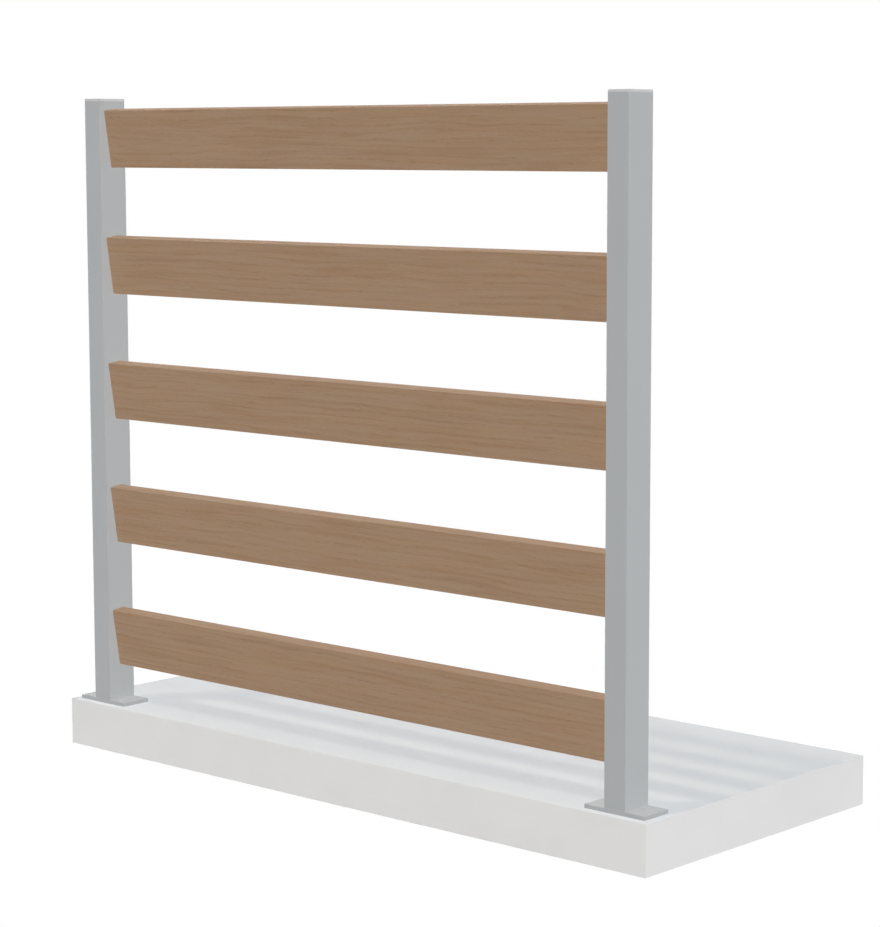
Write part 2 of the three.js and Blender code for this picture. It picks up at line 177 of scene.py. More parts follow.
def port_outline(corner_angle):
    """The hollow at a corner: along the port's ring, in at its mouth, round the bore and out."""
    x = math.copysign(PORT_X, math.cos(math.radians(corner_angle)))
    y = math.copysign(PORT_Y, math.sin(math.radians(corner_angle)))
    first_wall = corner_angle + 360 - 45 - PORT_WALL_ANGLE
    second_wall = corner_angle + 45 + PORT_WALL_ANGLE
    first_lip = corner_angle + 180 + PORT_MOUTH_ANGLE / 2
    second_lip = corner_angle + 180 - PORT_MOUTH_ANGLE / 2
    return (
        arc(x, y, PORT_RADIUS, first_wall, first_lip, PORT_RING_STEPS)
        + arc(x, y, PORT_BORE, first_lip, second_lip + 360, PORT_BORE_STEPS)
        + arc(x, y, PORT_RADIUS, second_lip, second_wall, PORT_RING_STEPS)
    )


def edge_break(size):
    """The (inset, height) points of a softened edge, from the flat face below it upwards."""
    middle = BREAK_MIDDLE * size
    return [(size, 0), (middle, middle), (0, size)]


def profiled_levels(width, height, radius, profile, steps=CORNER_STEPS):
    """Level outlines of a rounded block whose sides follow a profile of (inset, height)."""
    return [
        (rounded_rectangle(width - 2 * inset, height - 2 * inset, radius - inset, steps), level)
        for inset, level in profile
    ]


# ---- Meshes ----

def mesh_object(name, geometry):
    """An object from a bmesh that was drawn in millimetres."""
    bmesh.ops.recalc_face_normals(geometry, faces=geometry.faces[:])
    bmesh.ops.scale(geometry, vec=(MM, MM, MM), verts=geometry.verts[:])
    mesh = bpy.data.meshes.new(name)
    geometry.to_mesh(mesh)
    geometry.free()
    made = bpy.data.objects.new(name, mesh)
    bpy.context.scene.collection.objects.link(made)
    return made


def ring(geometry, outline, height):
    return [geometry.verts.new((x, y, height)) for x, y in outline]


def walls(geometry, rings):
    """Faces between rings of the same number of points. Only the short ones shade smooth."""
    for lower, upper in zip(rings, rings[1:]):
        for i, vertex in enumerate(lower):
            following = (i + 1) % len(lower)
            face = geometry.faces.new((vertex, lower[following], upper[following], upper[i]))
            face.smooth = (vertex.co - lower[following].co).length < LONG_EDGE


def end_face(geometry, outer, inner=None):
    """A flat face over a ring, or between an outer and an inner ring."""
    if inner is None:
        geometry.faces.new(outer)
        return
    corners = outer + inner
    for triangle in tessellate_polygon([[v.co for v in outer], [v.co for v in inner]]):
        geometry.faces.new([corners[i] for i in triangle])


def stack(levels, hollow=None):
    """A closed form through levels of (outline, height), with a straight hollow if one is given."""
    geometry = bmesh.new()
    outer = [ring(geometry, outline, height) for outline, height in levels]
    walls(geometry, outer)
    if hollow:
        inner = [ring(geometry, hollow, levels[i][1]) for i in (0, -1)]
        walls(geometry, inner)
        end_face(geometry, outer[0], inner[0])
        end_face(geometry, outer[-1], inner[1])
    else:
        end_face(geometry, outer[0])
        end_face(geometry, outer[-1])
    return geometry


def block(size, centre):
    """A plain box for cutting."""
    geometry = bmesh.new()
    place = Matrix.Translation(centre) @ Matrix.Diagonal((*size, 1))
    bmesh.ops.create_cube(geometry, size=1, matrix=place)
    return geometry


def lathe(section):
    """A closed form turned about +Z from (radius, height) points that begin and end on it."""
    geometry = bmesh.new()
    first = geometry.verts.new((0, 0, section[0][1]))
    last = geometry.verts.new((0, 0, section[-1][1]))
    rings = []
    for radius, height in section[1:-1]:
        rings.append(ring(geometry, circle(radius, SCREW_SIDES), height))
    walls(geometry, rings)
    for i in range(SCREW_SIDES):
        following = (i + 1) % SCREW_SIDES
        geometry.faces.new((first, rings[0][following], rings[0][i]))
        geometry.faces.new((last, rings[-1][i], rings[-1][following])).smooth = True
    return geometry


def clean(mesh):
    """Welds the slivers that cuts leave, so that the surface stays closed."""
    geometry = bmesh.new()
    geometry.from_mesh(mesh)
    bmesh.ops.remove_doubles(geometry, verts=geometry.verts[:], dist=WELD * MM)
    bmesh.ops.dissolve_degenerate(geometry, edges=geometry.edges[:], dist=WELD * MM)
    geometry.to_mesh(mesh)
    geometry.free()


def boolean(target, cutters, operation="DIFFERENCE"):
    """Cuts bmeshes from an object that is still at the origin, or joins them to it."""
    for index, cutter in enumerate(cutters):
        tool = mesh_object(f"tool_{index}", cutter)
        step = target.modifiers.new("step", "BOOLEAN")
        step.operation, step.solver, step.object = operation, "EXACT", tool
        bpy.context.view_layer.update()
        evaluated = target.evaluated_get(bpy.context.evaluated_depsgraph_get())
        result = bpy.data.meshes.new_from_object(evaluated)
        target.modifiers.clear()
        old_mesh, tool_mesh = target.data, tool.data
        target.data = result
        bpy.data.objects.remove(tool)
        bpy.data.meshes.remove(old_mesh)
        bpy.data.meshes.remove(tool_mesh)
    clean(target.data)


def transformed(geometry, matrix):
    bmesh.ops.transform(geometry, matrix=matrix, verts=geometry.verts[:])
    return geometry


# ---- Places ----

def translation(x=0, y=0, z=0):
    return Matrix.Translation((x, y, z))


def quarter_turn(axis):
    return Matrix.Rotation(math.pi / 2, 4, axis)


def in_metres(matrix):
    """The same placing with its translation turned from millimetres to metres."""
    placed = matrix.copy()
    placed.translation = placed.translation * MM
    return placed


def slat_matrix(index):
    """A slat's tilted frame: X along it, Y through its thickness, Z across its width."""
    height = LOWEST_SLAT_RISE + index * SLAT_PITCH
    return translation(z=height) @ Matrix.Rotation(math.radians(SLAT_TILT), 4, "X")


def port_places():
    """In the CAD's order, so that each screw takes its own node's place."""
    return [(x, y) for x in (-PORT_X, PORT_X) for y in (-PORT_Y, PORT_Y)]


def locking_screw_matrix(sign):
    """In the slat's frame: the head in the rear face, the point towards the front."""
    along = sign * (CLEAR_WIDTH / 2 - LOCKING_SCREW_DISTANCE)
    return translation(along, SLAT_THICKNESS / 2 - HEAD_RECESS) @ quarter_turn("X")


# ---- Sub-parts ----

def screw_section(screw):
    """Half section of a countersunk screw with a softened head."""
    shank, head, length = screw["shank"], screw["head"], screw["length"]
    soft = HEAD_SOFTENING
    return [
        (0, 0), (head - 2 * soft, 0), (head - 0.5 * soft, 0.5 * soft), (head, 2 * soft),
        (head, SCREW_HEAD_RIM), (shank, SCREW_HEAD_RIM + head - shank),
        (shank, length - screw["point"]),
        (SCREW_TIP_SHARE * shank, length - SCREW_TIP_LENGTH), (0, length),
    ]


def screw_hole_section(screw):
    """Half section of a countersunk screw's hole, which runs on above the head."""
    shank, head = screw["shank"] + SCREW_FIT, screw["head"] + SCREW_FIT
    return [
        (0, -2 * HEAD_RECESS), (head, -2 * HEAD_RECESS), (head, SCREW_HEAD_RIM),
        (shank, SCREW_HEAD_RIM + head - shank), (shank, screw["length"] - screw["point"]),
        (0, screw["length"] + SCREW_FIT),
    ]


def make_screw(name, screw, matrix):
    """A countersunk screw with a hexagon socket. Its own frame has the head's face at z = 0."""
    made = mesh_object(name, lathe(screw_section(screw)))
    hexagon = circle(screw["key"], KEY_SIDES)
    boolean(made, [stack([(hexagon, -screw["key_depth"]), (hexagon, screw["key_depth"])])])
    made.matrix_world = in_metres(matrix)
    return made


def make_post(name, sign):
    """An extruded tube with four open screw ports and the holes for the bracket screws."""
    cut = TUBE_EDGE_BREAK
    full = rounded_rectangle(POST_WIDTH, POST_DEPTH, POST_CORNER_RADIUS)
    # The tighter corners keep this outline's points off the line of the inner walls.
    eased = rounded_rectangle(
        POST_WIDTH - 2 * cut, POST_DEPTH - 2 * cut, POST_CORNER_RADIUS - 2 * cut)
    hollow = [point for angle in (45, 135, 225, 315) for point in port_outline(angle)]
    levels = [(eased, 0), (full, cut), (full, TUBE_LENGTH - cut), (eased, TUBE_LENGTH)]
    post = mesh_object(name, stack(levels, hollow))
    radius = BRACKET_SCREW["shank"] + SCREW_FIT
    wall_middle = -sign * (POST_WIDTH - POST_WALL) / 2
    holes = bmesh.new()
    for index in range(SLAT_COUNT):
        for offset in (-BRACKET_SCREW_OFFSET, BRACKET_SCREW_OFFSET):
            centre = slat_matrix(index) @ Vector((0, 0, offset))
            place = translation(wall_middle, centre.y, centre.z - PLATE_THICKNESS)
            bmesh.ops.create_cone(
                holes, cap_ends=True, segments=POST_HOLE_SIDES, radius1=radius, radius2=radius,
                depth=2 * POST_WALL, matrix=place @ quarter_turn("Y"),
            )
    boolean(post, [holes])
    post.matrix_world = in_metres(translation(sign * POST_SPACING / 2, z=PLATE_THICKNESS))
    return post


def cap_tab(width, wall_distance, turn):
    """One tongue under the lid, drawn for the +Y wall and turned to its own."""
    outer = wall_distance - CAP_FIT
    inner = outer - CAP_TAB_THICKNESS
    side = [
        (inner, CAP_TAB_ROOT), (inner, -CAP_TAB_DEPTH), (outer - CAP_TAB_LEAD_IN, -CAP_TAB_DEPTH),
        (outer, 2 * CAP_TAB_LEAD_IN - CAP_TAB_DEPTH), (outer, CAP_TAB_ROOT),
    ]
    tab = stack([(side, -width / 2), (side, width / 2)])
    # The section's x becomes +Y and its y becomes +Z.
    stand = Matrix(((0, 0, 1, 0), (1, 0, 0, 0), (0, 1, 0, 0), (0, 0, 0, 1)))
    return transformed(tab, Matrix.Rotation(turn, 4, "Z") @ stand)


def make_cap(name, sign):
    """A lid with a rounded upper edge and four tabs that plug into the tube."""
    upper_edge = [
        (CAP_EDGE_RADIUS - across, CAP_HEIGHT - CAP_EDGE_RADIUS + up)
        for across, up in arc(0, 0, CAP_EDGE_RADIUS, 0, 90, CAP_EDGE_STEPS)
    ]
    profile = edge_break(CAP_EDGE_BREAK) + upper_edge
    levels = profiled_levels(POST_WIDTH, POST_DEPTH, POST_CORNER_RADIUS, profile)
    cap = mesh_object(name, stack(levels))
    reach = PORT_RADIUS + CAP_TAB_SIDE_GAP
    tabs = []
    for turn in (0, math.pi):
        tabs.append(cap_tab(2 * (PORT_X - reach), POST_DEPTH / 2 - POST_WALL, turn))
        tabs.append(cap_tab(2 * (PORT_Y - reach), POST_WIDTH / 2 - POST_WALL, turn + math.pi / 2))
    boolean(cap, tabs, "UNION")
    cap.matrix_world = in_metres(translation(sign * POST_SPACING / 2, z=POST_TOP_HEIGHT))
    return cap


def make_base_plate(name, sign):
    """A flat plate with softened edges and four countersunk holes from below."""
    lower_edge = edge_break(PLATE_EDGE_BREAK)
    upper_edge = [(inset, PLATE_THICKNESS - height) for inset, height in reversed(lower_edge)]
    levels = profiled_levels(
        PLATE_WIDTH, POST_DEPTH, PLATE_CORNER_RADIUS, lower_edge + upper_edge, PLATE_CORNER_STEPS)
    plate = mesh_object(name, stack(levels))
    boolean(plate, [
        transformed(lathe(screw_hole_section(BASE_SCREW)), translation(x, y, HEAD_RECESS))
        for x, y in port_places()
    ])
    plate.matrix_world = in_metres(translation(sign * POST_SPACING / 2))
    return plate


def mortise(sign, depth, thickness, width):
    """The room for one part of a bracket, from the post's face into the slat's end."""
    depth += MORTISE_FIT
    size = (depth, thickness + 2 * MORTISE_FIT, width + 2 * MORTISE_FIT)
    return block(size, (sign * (CLEAR_WIDTH - depth) / 2, 0, 0))


def slat_mesh():
    """One board with eased edges, mortises for its brackets and holes for its locking screws."""
    cut, half = SLAT_END_BREAK, SLAT_LENGTH / 2
    full = rounded_rectangle(SLAT_WIDTH, SLAT_THICKNESS, SLAT_EDGE_RADIUS, SLAT_CORNER_STEPS)
    end = rounded_rectangle(
        SLAT_WIDTH - 2 * cut, SLAT_THICKNESS - 2 * cut, SLAT_END_RADIUS, SLAT_CORNER_STEPS)
    levels = [(end, -half), (full, cut - half), (full, half - cut), (end, half)]
    # Drawn along +Z, then turned so that the length runs along X and the width along Z.
    slat = mesh_object("slat_board", transformed(stack(levels), quarter_turn("Y")))
    for sign in SIDES.values():
        screw_hole = lathe(screw_hole_section(LOCKING_SCREW))
        boolean(slat, [
            mortise(sign, FLANGE_FRONT, FLANGE_WIDTH, FLANGE_LENGTH),
            mortise(sign, TONGUE_TIP, TONGUE_THICKNESS, TONGUE_WIDTH),
            transformed(screw_hole, locking_screw_matrix(sign)),
        ])
    mesh = slat.data
    bpy.data.objects.remove(slat)
    return mesh


def make_slat(name, mesh, index):
    made = bpy.data.objects.new(name, mesh.copy())
    bpy.context.scene.collection.objects.link(made)
    made.matrix_world = in_metres(slat_matrix(index))
    return made


# ---- Material nodes ----

NOISE_LOW, NOISE_HIGH = 0.3, 0.7  # nearly all of a noise's values lie between these


def srgb(red, green, blue):
    """A colour from 0 to 255 as linear RGBA."""
    def linear(value):
        value /= 255
        return value / 12.92 if value <= 0.04045 else ((value + 0.055) / 1.055) ** 2.4
    return (linear(red), linear(green), linear(blue), 1)


class Graph:
    """A node tree with short ways to add what the materials here use."""

    def __init__(self, tree):
        self.tree = tree
        tree.nodes.clear()

    def add(self, kind, inputs=(), **settings):
        """A new node, whose inputs are given by name or index, each as a value or a socket."""
        made = self.tree.nodes.new(kind)
        for key, value in settings.items():
            setattr(made, key, value)
        for key, value in dict(inputs).items():
            socket = made.inputs[key]
            if isinstance(value, bpy.types.NodeSocket):
                self.tree.links.new(value, socket)
            else:
                socket.default_value = value
        return made

    def coordinates(self):
        return self.add("ShaderNodeTexCoord").outputs["Object"]

    def math(self, operation, first, second=0.0):
        return self.add("ShaderNodeMath", {0: first, 1: second}, operation=operation).outputs[0]

    def vector(self, operation, first, second=(0, 0, 0)):
        made = self.add("ShaderNodeVectorMath", {0: first, 1: second}, operation=operation)
        return made.outputs["Value" if operation == "LENGTH" else "Vector"]

    def noise(self, vector, scale, detail=2.0, roughness=0.5, colour=False):
        """Noise of scale waves a metre, which is one number or one for each axis."""
        if isinstance(scale, (int, float)):
            scale = (scale, scale, scale)
        made = self.add("ShaderNodeTexNoise", {
            "Vector": self.vector("MULTIPLY", vector, scale), "Scale": 1,
            "Detail": detail, "Roughness": roughness,
        })
        return made.outputs["Color" if colour else 0]

    def remap(self, value, low, high, to_low=0.0, to_high=1.0, smooth=True):
        made = self.add(
            "ShaderNodeMapRange", {"Value": value, 1: low, 2: high, 3: to_low, 4: to_high},
            interpolation_type="SMOOTHSTEP" if smooth else "LINEAR",
        )
        return made.outputs[0]

    def spread(self, noise, to_low=0.0, to_high=1.0, smooth=True):
        """Noise that is stretched to run from to_low to to_high."""
        return self.remap(noise, NOISE_LOW, NOISE_HIGH, to_low, to_high, smooth)

    def damped(self, value, by, least, smooth=True):
        """A value that is whole where another is 1, and down to its least share where that is 0."""
        return self.math("MULTIPLY", value, self.remap(by, 0.0, 1.0, least, 1.0, smooth))

    def mix(self, factor, first, second, blend="MIX"):
        """A colour between two others, or blended from them."""
        made = self.add(
            "ShaderNodeMix", {0: factor, 6: first, 7: second}, data_type="RGBA", blend_type=blend)
        return made.outputs[2]

    def weighted(self, terms):
        """The sum of value times weight."""
        total = None
        for value, weight in terms:
            scaled = self.math("MULTIPLY", value, weight)
            total = scaled if total is None else self.math("ADD", total, scaled)
        return total

    def bump(self, height, distance, strength):
        """A surface's unevenness, with its distance in metres."""
        inputs = {"Height": height, "Distance": distance, "Strength": strength}
        return self.add("ShaderNodeBump", inputs).outputs[0]

    def seen(self):
        """1 for what is seen straight, mirrored or through glass, 0 for what only gives light."""
        path = self.add("ShaderNodeLightPath").outputs
        seen = self.math("MAXIMUM", path["Is Camera Ray"], path["Is Glossy Ray"])
        return self.math("MAXIMUM", seen, path["Is Transmission Ray"])

    def surface(self, **inputs):
        """Ends the tree with its shader. An underscore stands for a space in an input's name."""
        named = {key.replace("_", " "): value for key, value in inputs.items()}
        shader = self.add("ShaderNodeBsdfPrincipled", named)
        self.add("ShaderNodeOutputMaterial", {"Surface": shader.outputs[0]})


def material(name):
    made = bpy.data.materials.new(name)
    made.use_nodes = True
    return made, Graph(made.node_tree)


# ---- Materials ----

# Each roughness is that of the smoothest and of the roughest spots.
COAT_COLOUR = srgb(163, 166, 168)
COAT_DARK = srgb(160, 163, 165)
COAT_ROUGHNESS = (0.34, 0.42)
COAT_SPECULAR = 0.36
# The plates have the posts' coat, written a little paler as painted light: it gives brighter tops
# than the shade of the posts and slats leaves them.
PLATE_PAINTED_LIGHT = srgb(168, 170, 172)
PLATE_PAINTED_LIGHT_DARK = srgb(165, 167, 169)
PLATE_ROUGHNESS = (0.46, 0.54)

CAP_COLOUR = srgb(191, 191, 192)
CAP_DARK = srgb(188, 188, 189)
CAP_ROUGHNESS = (0.54, 0.62)
CAP_SPECULAR = 0.25

STEEL = srgb(196, 199, 202)
STEEL_DARK = srgb(168, 171, 175)
SCREW_ROUGHNESS = (0.28, 0.38)
SHEET_ROUGHNESS = (0.30, 0.42)
TURNING_RADIANS = 26000       # of the turning rings' wave, for each metre from the axis

# Painted shade: the top is written darker and bluer than the sides, to even out the stronger light
# from above and give it a sky's cool tint.
CONCRETE_PAINTED_SHADE_TOP = srgb(212, 216, 220)
CONCRETE_SIDE = srgb(218, 218, 218)
CONCRETE_PALER = 1.03         # its palest patches against its colour
CONCRETE_UNSEEN = (0.02, 0.02, 0.02, 1)
CONCRETE_ROUGHNESS = 0.9
CONCRETE_SPECULAR = 0.1

WOOD_LIGHT = srgb(156, 129, 105)
WOOD_MIDDLE = srgb(153, 125, 100)
WOOD_DARK = srgb(144, 114, 87)
WOOD_PORE = srgb(118, 90, 66)
WOOD_ROUGHNESS = (0.60, 0.78)
WOOD_SPECULAR = 0.2
PORE_STRENGTH = 0.55
END_GRAIN_STRENGTH = 0.45
# The darkness of the grain at which the wood leaves one colour and reaches the next.
LIGHT_TO_MIDDLE = (0.10, 0.52)
MIDDLE_TO_DARK = (0.45, 1.10)
# Faint drifts of hue, longer than they are high: warmer to cooler, and olive to rose.
HUE_DRIFTS = (
    {"scale": (5, 45, 45), "shift": (0, 0, 0),
     "tints": ((1.006, 1.000, 0.955, 1), (0.978, 1.000, 1.010, 1))},
    {"scale": (7, 60, 60), "shift": (3, 3, 3),
     "tints": ((0.990, 1.004, 0.980, 1), (1.004, 0.982, 1.004, 1))},
)

# Grain is in metres, with X along the board.
BOARD_STEP = (1.37, 0.211, 0.173)   # from one board's place in the grain to the next one's
WANDER = {"scale": (2.4, 11, 11), "detail": 2, "reach": 0.034}
RIPPLE = {"scale": (8, 40, 40), "detail": 1, "reach": 0.004}
PITH_BEHIND = 0.07
PITH_BELOW = 0.34
RING_SPACING = 0.0185
RING_TAPER = 0.012            # how fast the growth rings narrow along the board
RING_UNEVEN_SCALE = 50
RING_UNEVENNESS = 0.9         # in rings
RING_BAND = 0.32              # from a ring's line to where its band ends, in rings
VESSEL_LEAST = 0.2            # what is left of a growth ring between its vessels
PORE_LEAST = 0.3              # what is left of the pores away from a growth ring
DASH_LEAST = 0.45             # what is left of the dashes there
# The layers of the grain: waves a metre along and across the board, the noise's detail and
# roughness, and where in its range the layer begins and is full.
GRAIN_LAYERS = {
    "vessel": (8, 170, 2, 0.6, 0.38, 0.62),
    "streak": (3.5, 105, 2, 0.55, 0.34, 0.68),
    "dash": (46, 330, 2, 0.55, 0.48, 0.70),
    "broad": (2.5, 32, 2, 0.5, 0.3, 0.7),
    "fibre": (60, 1300, 2, 0.6, 0.3, 0.7),
    "pore": (70, 1500, 1, 0.5, 0.62, 0.76),
}
GRAIN_DARKNESS = {"ring": 0.29, "streak": 0.34, "dash": 0.46, "broad": 0.28, "fibre": 0.12}
GRAIN_RELIEF = {"fibre": -0.5, "pore": -1.0, "streak": -0.35, "ring": -0.3}
GRAIN_ROUGHNESS = {"streak": 0.5, "pore": 0.5}


def powder_coat(name, pale, dark, roughness):
    """A light grey fine-textured coat: faint clouding, tiny speckle and orange peel."""
    made, g = material(name)
    place = g.coordinates()
    cloud = g.noise(place, scale=(7, 7, 3), detail=3)
    speckle = g.noise(place, scale=1400, detail=1)
    tone = g.weighted([(g.spread(cloud), 0.6), (g.remap(speckle, 0.35, 0.65), 0.4)])
    peel = g.noise(place, scale=420, roughness=0.55)
    grit = g.noise(place, scale=1500, detail=1)
    height = g.weighted([(peel, 1.0), (grit, 0.35)])
    patches = g.noise(place, scale=60, detail=3)
    g.surface(
        Base_Color=g.mix(tone, dark, pale),
        Roughness=g.spread(patches, *roughness),
        Normal=g.bump(height, distance=0.00006, strength=0.5),
        Specular_IOR_Level=COAT_SPECULAR,
    )
    return made


def moulded_plastic():
    """The caps' paler grey plastic, with the fine matt texture of its mould."""
    made, g = material("cap_plastic")
    place = g.coordinates()
    mottle = g.noise(place, scale=25, detail=3)
    texture = g.noise(place, scale=1100, roughness=0.6)
    patches = g.noise(place, scale=90)
    g.surface(
        Base_Color=g.mix(g.spread(mottle), CAP_DARK, CAP_COLOUR),
        Roughness=g.spread(patches, *CAP_ROUGHNESS),
        Normal=g.bump(texture, distance=0.00005, strength=0.5),
        Specular_IOR_Level=CAP_SPECULAR,
    )
    return made


def sideways_shift(g, place, scale, detail, reach):
    """A shift across the board that bends the grain, by up to half of reach either way."""
    noise = g.noise(place, scale, detail, colour=True)
    centred = g.vector("SUBTRACT", noise, (0.5, 0.5, 0.5))
    return g.vector("MULTIPLY", centred, (0, reach, reach))


def growth_rings(g, grain, own):
    """Shells round a pith far below the board, so that they cross its face as level lines."""
    pith = (0, own[1] + PITH_BEHIND, own[2] - PITH_BELOW)
    from_pith = g.vector("MULTIPLY", g.vector("SUBTRACT", grain, pith), (RING_TAPER, 1, 1))
    radial = g.vector("LENGTH", from_pith)
    phase = g.math("MULTIPLY", radial, 1 / RING_SPACING)
    along = g.add("ShaderNodeCombineXYZ", {"X": radial}).outputs[0]
    uneven = g.noise(along, scale=RING_UNEVEN_SCALE)
    phase = g.math("ADD", phase, g.math("MULTIPLY", uneven, RING_UNEVENNESS))
    return g.remap(g.math("PINGPONG", phase, 0.5), 0.0, RING_BAND, 1.0, 0.0)


def wood(name, seed, end_grain=False):
    """Planed oak-like board. The grain is solid, so that it runs on over the edges and ends."""
    made, g = material(name)
    own = tuple(step * seed for step in BOARD_STEP)
    place = g.vector("ADD", g.coordinates(), own)
    grain = g.vector("ADD", place, sideways_shift(g, place, **WANDER))
    grain = g.vector("ADD", grain, sideways_shift(g, place, **RIPPLE))

    band = growth_rings(g, grain, own)
    layers = {}
    for layer, (along, across, detail, roughness, low, high) in GRAIN_LAYERS.items():
        noise = g.noise(grain, (along, across, across), detail, roughness)
        layers[layer] = g.remap(noise, low, high)
    layers["pore"] = g.damped(layers["pore"], band, PORE_LEAST)
    layers["ring"] = g.damped(band, layers["vessel"], VESSEL_LEAST, smooth=False)
    layers["dash"] = g.damped(layers["dash"], band, DASH_LEAST)

    def total(weights):
        return g.weighted([(layers[layer], weight) for layer, weight in weights.items()])

    darkness = total(GRAIN_DARKNESS)
    colour = g.mix(g.remap(darkness, *LIGHT_TO_MIDDLE, smooth=False), WOOD_LIGHT, WOOD_MIDDLE)
    colour = g.mix(g.remap(darkness, *MIDDLE_TO_DARK, smooth=False), colour, WOOD_DARK)
    colour = g.mix(g.math("MULTIPLY", layers["pore"], PORE_STRENGTH), colour, WOOD_PORE)
    for drift in HUE_DRIFTS:
        noise = g.noise(g.vector("ADD", grain, drift["shift"]), drift["scale"])
        tint = g.mix(g.spread(noise, smooth=False), *drift["tints"])
        colour = g.mix(1.0, colour, tint, "MULTIPLY")
    if end_grain:
        colour = g.mix(END_GRAIN_STRENGTH, colour, WOOD_PORE, "MULTIPLY")
    g.surface(
        Base_Color=colour,
        Roughness=g.remap(total(GRAIN_ROUGHNESS), 0.0, 1.0, *WOOD_ROUGHNESS, smooth=False),
        Normal=g.bump(total(GRAIN_RELIEF), distance=0.00022, strength=0.55),
        Specular_IOR_Level=WOOD_SPECULAR,
    )
    return made


def turned_steel():
    """Bare stainless screws, with fine turning rings about each one's own axis."""
    made, g = material("turned_steel")
    place = g.coordinates()
    radius = g.vector("LENGTH", g.vector("MULTIPLY", place, (1, 1, 0)))
    rings = g.math("SINE", g.math("MULTIPLY", radius, TURNING_RADIANS))
    mottle = g.noise(place, scale=300, detail=3)
    g.surface(
        Base_Color=g.mix(g.spread(mottle), STEEL_DARK, STEEL), Metallic=1.0,
        Roughness=g.spread(mottle, *SCREW_ROUGHNESS),
        Normal=g.bump(rings, distance=0.00002, strength=0.4),
    )
    return made


def brushed_steel():
    """The brackets' bare sheet, brushed along the slats."""
    made, g = material("brushed_steel")
    brush = g.noise(g.coordinates(), scale=(40, 2600, 2600), detail=3)
    g.surface(
        Base_Color=g.mix(g.spread(brush), STEEL_DARK, STEEL), Metallic=1.0,
        Roughness=g.spread(brush, *SHEET_ROUGHNESS),
        Normal=g.bump(brush, distance=0.00003, strength=0.5),
    )
    return made


def concrete(name, colour):
    """Smooth pale concrete for the slab that the screen stands on."""
    made, g = material(name)
    tone = g.noise(g.coordinates(), scale=5, detail=5, roughness=0.6)
    paler = tuple(min(1.0, channel * CONCRETE_PALER) for channel in colour[:3]) + (1,)
    shade = g.mix(g.spread(tone), colour, paler)
    # Pale only where it is seen: in the photograph it throws no light up on the plates and posts.
    shade = g.mix(g.seen(), CONCRETE_UNSEEN, shade)
    g.surface(
        Base_Color=shade, Roughness=CONCRETE_ROUGHNESS, Specular_IOR_Level=CONCRETE_SPECULAR)
    return made


# ---- Stage: slab, light and camera, with the slab and the camera's place in millimetres ----

SLAB_LEFT, SLAB_RIGHT = -1109.1, 1108.5
SLAB_FRONT, SLAB_BACK = -69.7, 900.8
SLAB_THICKNESS = 138.2
SLAB_CHAMFER = 1
SLAB_SINK = 0.05  # below the ground plane, so that the plates' undersides never share its surface

SKY = 0.12        # radiance from every side

# A sun's strength is the share of full light on a surface that faces it, and its size is the angle
# of sky that it fills, in degrees. The two fills take up half the sky each and cast no shadow.
WHITE = (1, 1, 1)
SUNS = {
    # The one light that casts a shadow. Its direction comes from the photograph's shadows.
    "key": {
        "strength": 0.15, "size": 3.1, "colour": (1.0, 0.86, 0.72),
        "towards": (0.3206, 0.4367, -1.0),
    },
    "fill_front": {
        "strength": 0.885, "size": 180, "colour": WHITE, "towards": (-0.79, 0.55, -0.13),
    },
    "fill_behind": {
        "strength": 0.52, "size": 180, "colour": WHITE, "towards": (0.68, -0.72, -0.04),
    },
}

FRAME_WIDTH, FRAME_HEIGHT = 880, 927     # the photograph, in pixels
FOCAL_PIXELS = 2575.696
PRINCIPAL_X, PRINCIPAL_Y = 492.901, 449.288
CAMERA_PLACE = (4953.684, -4985.863, 1670.579)
CAMERA_YAW, CAMERA_PITCH = 0.724505, 0.117426
SENSOR = 36.0                            # the width of the camera's picture plane
CLIP_NEAR, CLIP_FAR = 0.1, 200           # metres


def make_slab():
    """The pale slab in the photograph. It is the floor, and not part of the screen."""
    levels = []
    for inset, height in (
        (SLAB_CHAMFER, -SLAB_THICKNESS), (0, SLAB_CHAMFER - SLAB_THICKNESS),
        (0, -SLAB_CHAMFER), (SLAB_CHAMFER, -SLAB_SINK),
    ):
        low_x, high_x = SLAB_LEFT + inset, SLAB_RIGHT - inset
        low_y, high_y = SLAB_FRONT + inset, SLAB_BACK - inset
        outline = [(low_x, low_y), (high_x, low_y), (high_x, high_y), (low_x, high_y)]
        levels.append((outline, height))
    slab = mesh_object("floor_slab", stack(levels))
    slab.data.materials.append(concrete("slab_side", CONCRETE_SIDE))
    # The top takes the darker, bluer concrete, which is painted shade.
    slab.data.materials.append(concrete("slab_painted_shade_top", CONCRETE_PAINTED_SHADE_TOP))
    for face in slab.data.polygons:
        face.material_index = 1 if face.normal.z > FACING else 0


def make_world():
    """Soft light from all round for the object, and plain white wherever the world is seen."""
    world = bpy.data.worlds.new("studio")
    world.use_nodes = True
    bpy.context.scene.world = world
    g = Graph(world.node_tree)
    soft = g.add("ShaderNodeBackground", {"Color": (1, 1, 1, 1), "Strength": SKY})
    white = g.add("ShaderNodeBackground", {"Color": (1, 1, 1, 1), "Strength": 1.0})
    both = g.add("ShaderNodeMixShader", {0: g.seen(), 1: soft.outputs[0], 2: white.outputs[0]})
    g.add("ShaderNodeOutputWorld", {"Surface": both.outputs[0]})


def make_suns():
    for name, sun in SUNS.items():
        light = bpy.data.lights.new(name, "SUN")
        light.energy = sun["strength"] * math.pi
        light.angle = math.radians(sun["size"])
        light.color = sun["colour"]
        light.use_shadow = name == "key"
        light.cycles.use_multiple_importance_sampling = light.use_shadow
        placed = bpy.data.objects.new(name, light)
        placed.rotation_euler = Vector(sun["towards"]).to_track_quat("-Z", "Y").to_euler()
        bpy.context.scene.collection.objects.link(placed)


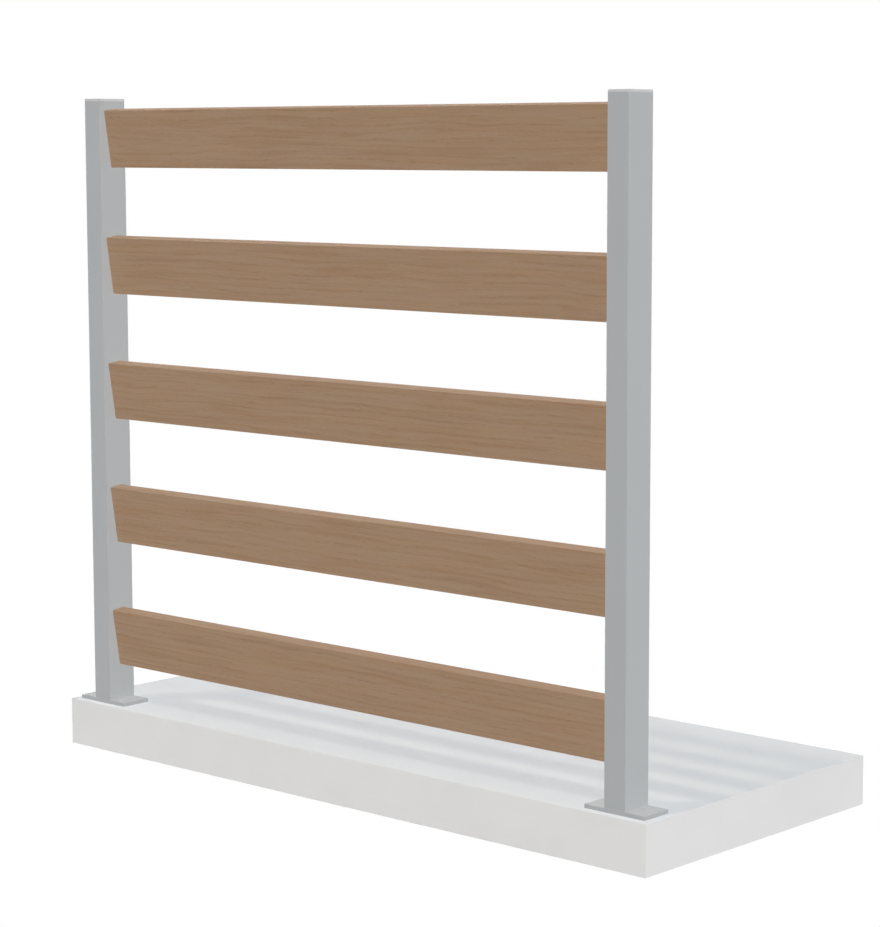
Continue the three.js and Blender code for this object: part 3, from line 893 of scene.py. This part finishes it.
def make_camera():
    """The camera that was fitted to the screen's edges in the photograph."""
    lens = bpy.data.cameras.new("camera")
    lens.sensor_width = SENSOR
    lens.lens = FOCAL_PIXELS * SENSOR / FRAME_HEIGHT
    lens.shift_x = (FRAME_WIDTH / 2 - PRINCIPAL_X) / FRAME_HEIGHT
    lens.shift_y = (PRINCIPAL_Y - FRAME_HEIGHT / 2) / FRAME_HEIGHT
    lens.clip_start, lens.clip_end = CLIP_NEAR, CLIP_FAR
    camera = bpy.data.objects.new("camera", lens)
    camera.location = Vector(CAMERA_PLACE) * MM
    camera.rotation_euler = (math.pi / 2 - CAMERA_PITCH, 0, CAMERA_YAW)
    bpy.context.scene.collection.objects.link(camera)
    bpy.context.scene.camera = camera


# ---- Assembly ----

def finish_piece(piece, node, slot, *materials):
    """Gives a piece its materials, puts it in its CAD node's stead and makes it ride."""
    piece.data.materials.clear()
    for each in materials:
        piece.data.materials.append(each)
    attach(piece, BODY)
    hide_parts(node)


def add_posts(coat, plate_painted_light_coat, plastic, steel):
    kinds = (
        ("post", make_post, "post_coat", coat),
        ("base_plate", make_base_plate, "post_coat", plate_painted_light_coat),
        ("post_cap", make_cap, "cap_plastic", plastic),
    )
    for side, sign in SIDES.items():
        for kind, make, slot, look in kinds:
            node = f"{kind}_{side}"
            finish_piece(make(f"{node}_fine", sign), node, slot, look)
        for number, (x, y) in enumerate(port_places(), 1):
            node = f"base_screw_{side}_{number}"
            place = translation(sign * POST_SPACING / 2 + x, y, HEAD_RECESS)
            screw = make_screw(f"{node}_fine", BASE_SCREW, place)
            finish_piece(screw, node, "fixing_steel", steel)


def add_slats(steel):
    mesh = slat_mesh()
    for index in range(SLAT_COUNT):
        number = index + 1
        node = f"slat_{number}"
        slat = make_slat(f"{node}_board", mesh, index)
        long_grain = wood(f"wood_{number}", number)
        end_grain = wood(f"end_grain_{number}", number, end_grain=True)
        finish_piece(slat, node, "slat_wood", long_grain, end_grain)
        for face in slat.data.polygons:
            face.material_index = 1 if abs(face.normal.x) > FACING else 0
        for side, sign in SIDES.items():
            screw_node = f"{node}_locking_screw_{side}"
            place = slat_matrix(index) @ locking_screw_matrix(sign)
            screw = make_screw(f"{screw_node}_fine", LOCKING_SCREW, place)
            finish_piece(screw, screw_node, "fixing_steel", steel)
    bpy.data.meshes.remove(mesh)


def finish_hidden_nodes(steel, sheet_steel):
    """The brackets and their screws keep their CAD meshes."""
    for node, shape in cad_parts.items():
        if "_bracket_" in node:
            shape.material_slots[0].material = steel if "_screw_" in node else sheet_steel


screw_steel = turned_steel()
add_posts(
    powder_coat("powder_coat", COAT_COLOUR, COAT_DARK, COAT_ROUGHNESS),
    # The plates take a paler copy of the coat, with painted light in it.
    powder_coat("plate_painted_light_coat", PLATE_PAINTED_LIGHT, PLATE_PAINTED_LIGHT_DARK, PLATE_ROUGHNESS),
    moulded_plastic(), screw_steel)
add_slats(screw_steel)
finish_hidden_nodes(screw_steel, brushed_steel())
make_slab()
make_world()
make_suns()
make_camera()
bpy.context.scene.view_settings.view_transform = "Standard"
